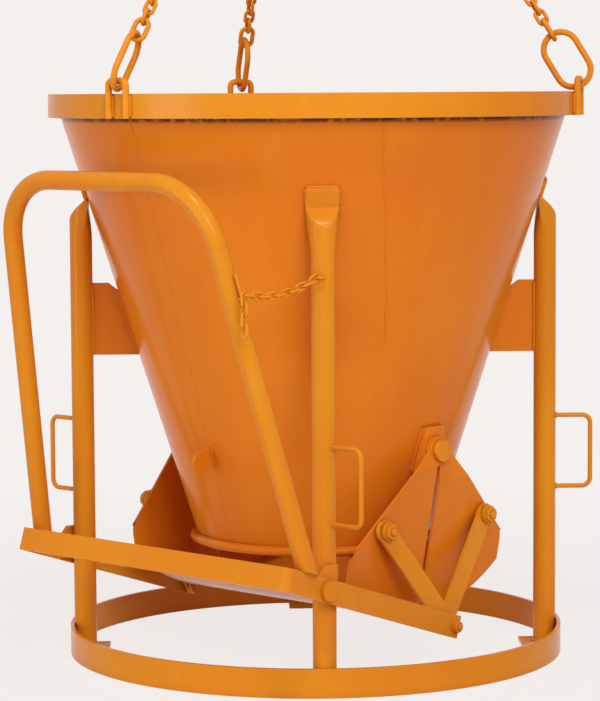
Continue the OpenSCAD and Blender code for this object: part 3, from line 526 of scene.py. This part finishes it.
paths = [
    ([at(q, NECK_BEAD_R, 0.0, NECK_BEAD_Z) for q in np.arange(0.0, 360.0, NECK_STEP)],
     BEAD_R["neck"], True),
    ([at(q, RIM_BEAD_R, 0.0, RIM_BEAD_Z) for q in np.arange(0.0, 360.0, RIM_STEP)],
     BEAD_R["rim"], True),
]
for az in SEAM_AZ:
    paths.append((up_cone(az, 0.0, SEAM_LOW, SEAM_HIGH, SEAM_LIFT, n=90), BEAD_R["seam"], False))
points = []
for z in np.linspace(WAVY_LOW, SEAM_HIGH, num=80):
    sway = sum(width * math.sin(z * wave) for width, wave in WAVES)
    points.append(at(WAVY_AZ + WAVY_SLOPE * (SEAM_HIGH - z), cone_r(z) + WAVY_LIFT, sway, z))
paths.append((points, BEAD_R["wavy"], False))
for side in (1, -1):
    for y in (-HANGER_Y, HANGER_Y):
        points = [(side * (chord(cone_r(z), y) + HANGER_LIFT), y, z)
                  for z in np.linspace(HANGER_LOW, HANGER_HIGH, num=16)]
        paths.append((points, BEAD_R["hanger"], False))
for t in (-STOP_OFF, STOP_OFF):
    paths.append((up_cone(0.0, t, STOP_LOW, STOP_HIGH, STOP_LIFT, n=10), BEAD_R["stop"], False))
beads("weld_hopper", paths, "bucket", "hopper_enamel")

# Both sides of each lug's two bars, on the rim
LUG_OFF, LUG_SIDE, LUG_LOW, LUG_HIGH, LUG_BEAD_R = 0.025, 0.0062, 1.163, 1.207, RIM_R + 0.0012
paths = []
for az in LUGS:
    for bar in (-LUG_OFF, LUG_OFF):
        for off in (-LUG_SIDE, LUG_SIDE):
            t = bar + off
            points = line(at(az, LUG_BEAD_R, t, LUG_LOW), at(az, LUG_BEAD_R, t, LUG_HIGH))
            paths.append((points, BEAD_R["lug"], False))
beads("weld_lugs", paths, "bucket", "frame_enamel")

# Two upright beads between each fork and its leg
FORK_Y, FORK_LOW, FORK_HIGH, FORK_LIFT = (0.0135, -0.0072), 0.206, 0.269, 0.0008
paths = []
for side in (1, -1):
    for off in FORK_Y:
        y = -LEG_XY + off
        x = side * (LEG_XY + chord(LEG_D / 2, y + LEG_XY) + FORK_LIFT)
        paths.append((line((x, y, FORK_LOW), (x, y, FORK_HIGH)), BEAD_R["fork"], False))
beads("weld_forks", paths, "bucket", "frame_enamel")

# Both sides of each bail foot, along the top of the lever's arm
BAIL_FRONT, BAIL_REAR, BAIL_MID, BAIL_Z, BAIL_LIFT = -0.463, -0.424, -0.4445, 0.2650, 0.0008
paths = []
for side in (1, -1):
    for x in (ARM_X - BAIL_LIFT, ARM_X + ARM_T + BAIL_LIFT):
        points = [(side * x, y, BAIL_Z + (BAIL_MID - y) * math.tan(ARM_TILT))
                  for y in np.linspace(BAIL_FRONT, BAIL_REAR, num=10)]
        paths.append((points, BEAD_R["bail"], False))
beads("weld_bail", paths, "lever", "frame_enamel")

# Nuts, in metres: width across the flats, height, bolt's diameter and length of its bare end
STUD_NUT = (0.029, 0.0075, 0.016, 0.0045)
PIN_NUT = (0.022, 0.0060, 0.014, 0.0040)
NUT_SIDES, NUT_SINK = 48, 0.0002
THREAD_PITCH, THREAD_MIN, BOLT_CHAMFER = 0.0016, 2, 0.0008
# Shares of a nut's flats and height at its chamfers, and of a bolt's diameter along its end
SEAT_W, CROWN_W, SEAT_H, CROWN_H = 0.52, 0.50, 0.12, 0.80
BORE_W, SUNK_W, ROOT_W, CREST_W, END_W, TIP_W = 0.56, 0.49, 0.46, 0.50, 0.44, 0.36


def hex_nut(place, side, flats, height, bolt_d, out):
    """Rings along X of a hexagonal nut with chamfered corners and a threaded bolt end."""
    turn = turns(NUT_SIDES)
    corner = flats / 2 / np.cos((turn + math.pi / 6) % (math.pi / 3) - math.pi / 6)

    def disc(share):
        return np.full(NUT_SIDES, bolt_d * share)

    rings = [(0.0, np.minimum(corner, flats * SEAT_W)), (height * SEAT_H, corner),
             (height * CROWN_H, corner), (height, np.minimum(corner, flats * CROWN_W)),
             (height, disc(BORE_W)), (height - BOLT_CHAMFER, disc(SUNK_W))]
    count = max(THREAD_MIN, int(out / THREAD_PITCH))
    for i in range(count):
        h = height + out * i / count
        rings += [(h, disc(ROOT_W)), (h + out / count / 2, disc(CREST_W))]
    rings += [(height + out, disc(END_W)), (height + out + BOLT_CHAMFER, disc(TIP_W))]
    x, y, z = place
    return [[(x + side * h, y + q * math.cos(a), z + side * q * math.sin(a))
             for q, a in zip(r, turn)] for h, r in rings]


def node_end(name):
    """The largest X that a node reaches."""
    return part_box(name)[1][0]


def nuts(name, bolts, y, z, body, size):
    """One piece of the two nuts on the outer ends of a node's bolts."""
    x = node_end(bolts) - NUT_SINK
    meshes = [loft(hex_nut((side * x, y, z), side, *size)) for side in (1, -1)]
    return piece(name, *joined(meshes), body, "frame_enamel", SHARP_NUT)


nuts("nuts_front_studs", "front_studs", -STUD_Y, STUD_Z, "front_jaw", STUD_NUT)
nuts("nuts_rear_studs", "rear_studs", STUD_Y, STUD_Z, "rear_jaw", STUD_NUT)
nuts("nuts_lever_end", "lever_end_pins", 0.0, LEVER_END_Z, "lever", PIN_NUT)

# Surroundings: the light from all around, and a floor whose shadow fades with distance, in metres
AMBIENT, AMBIENT_STRENGTH = (1.0, 0.72, 0.60, 1.0), 0.49
FLOOR_HALF, FLOOR_Z = 20.0, -0.0006
SHADOW_NEAR, SHADOW_FAR, SHADOW_SHARE = 0.9, 2.6, 0.10


def set_world():
    """A pale backdrop to look at, and a warmer, dimmer light on the bucket."""
    world = bpy.data.worlds.new("studio")
    bpy.context.scene.world = world
    world.use_nodes = True
    g = Graph(world.node_tree)
    path = g.add("ShaderNodeLightPath")
    bent = g.math("MAXIMUM", path.outputs["Is Glossy Ray"], path.outputs["Is Transmission Ray"])
    seen = g.math("MAXIMUM", path.outputs["Is Camera Ray"], bent)
    lit = g.add("ShaderNodeBackground", {"Color": AMBIENT, "Strength": AMBIENT_STRENGTH})
    back = g.add("ShaderNodeBackground", {"Color": PALE, "Strength": 1.0})
    mix = g.add("ShaderNodeMixShader", {0: seen, 1: lit.outputs[0], 2: back.outputs[0]})
    out = g.add("ShaderNodeOutputWorld")
    g.put(out.inputs["Surface"], mix.outputs[0])


def set_floor():
    """A floor as pale as the backdrop, with a faint shadow near the bucket."""
    h = FLOOR_HALF
    me = bpy.data.meshes.new("floor")
    me.from_pydata([(-h, -h, 0), (h, -h, 0), (h, h, 0), (-h, h, 0)], [], [(0, 1, 2, 3)])
    floor = bpy.data.objects.new("floor", me)
    floor.location = (0.0, 0.0, FLOOR_Z)
    bpy.context.scene.collection.objects.link(floor)
    m = bpy.data.materials.new("floor_pale")
    m.use_nodes = True
    g = Graph(m.node_tree)
    co = g.add("ShaderNodeTexCoord").outputs["Object"]
    far = g.add("ShaderNodeVectorMath", {0: co}, operation="LENGTH").outputs["Value"]
    path = g.add("ShaderNodeLightPath")
    seen = g.math("MAXIMUM", path.outputs["Is Camera Ray"], path.outputs["Is Glossy Ray"])
    keep = g.span(far, SHADOW_NEAR, SHADOW_FAR, SHADOW_SHARE, 0.0)
    pure = g.math("MULTIPLY", seen, g.math("SUBTRACT", 1.0, keep))
    matt = g.add("ShaderNodeBsdfDiffuse", {"Color": PALE})
    glow = g.add("ShaderNodeEmission", {"Color": PALE, "Strength": 1.0})
    mix = g.add("ShaderNodeMixShader", {0: pure, 1: matt.outputs[0], 2: glow.outputs[0]})
    out = g.add("ShaderNodeOutputMaterial")
    g.put(out.inputs["Surface"], mix.outputs[0])
    me.materials.append(m)


def add_light(name, place, target, size, watts):
    """A rectangular lamp at place that faces target."""
    data = bpy.data.lights.new(name, "AREA")
    data.shape = "RECTANGLE"
    data.size, data.size_y = size
    data.energy = watts
    o = bpy.data.objects.new(name, data)
    o.location = place
    o.rotation_euler = (Vector(target) - Vector(place)).to_track_quat("-Z", "Y").to_euler()
    bpy.context.scene.collection.objects.link(o)


# Lamps: name, place, what it faces, width and height, and watts
LAMPS = (
    ("key", (6.2, -3.6, 4.4), (0.0, 0.0, 0.7), (3.2, 3.2), 246.0),
    ("fill", (-1.6, -5.8, 1.0), (0.0, 0.0, 0.4), (2.4, 2.0), 72.0),
    ("top", (1.51, -1.60, 4.13), (0.36, -0.36, 0.955), (0.30, 0.30), 42.0),
)

set_world()
set_floor()
for lamp in LAMPS:
    add_light(*lamp)
bpy.context.scene.view_settings.view_transform = "Standard"
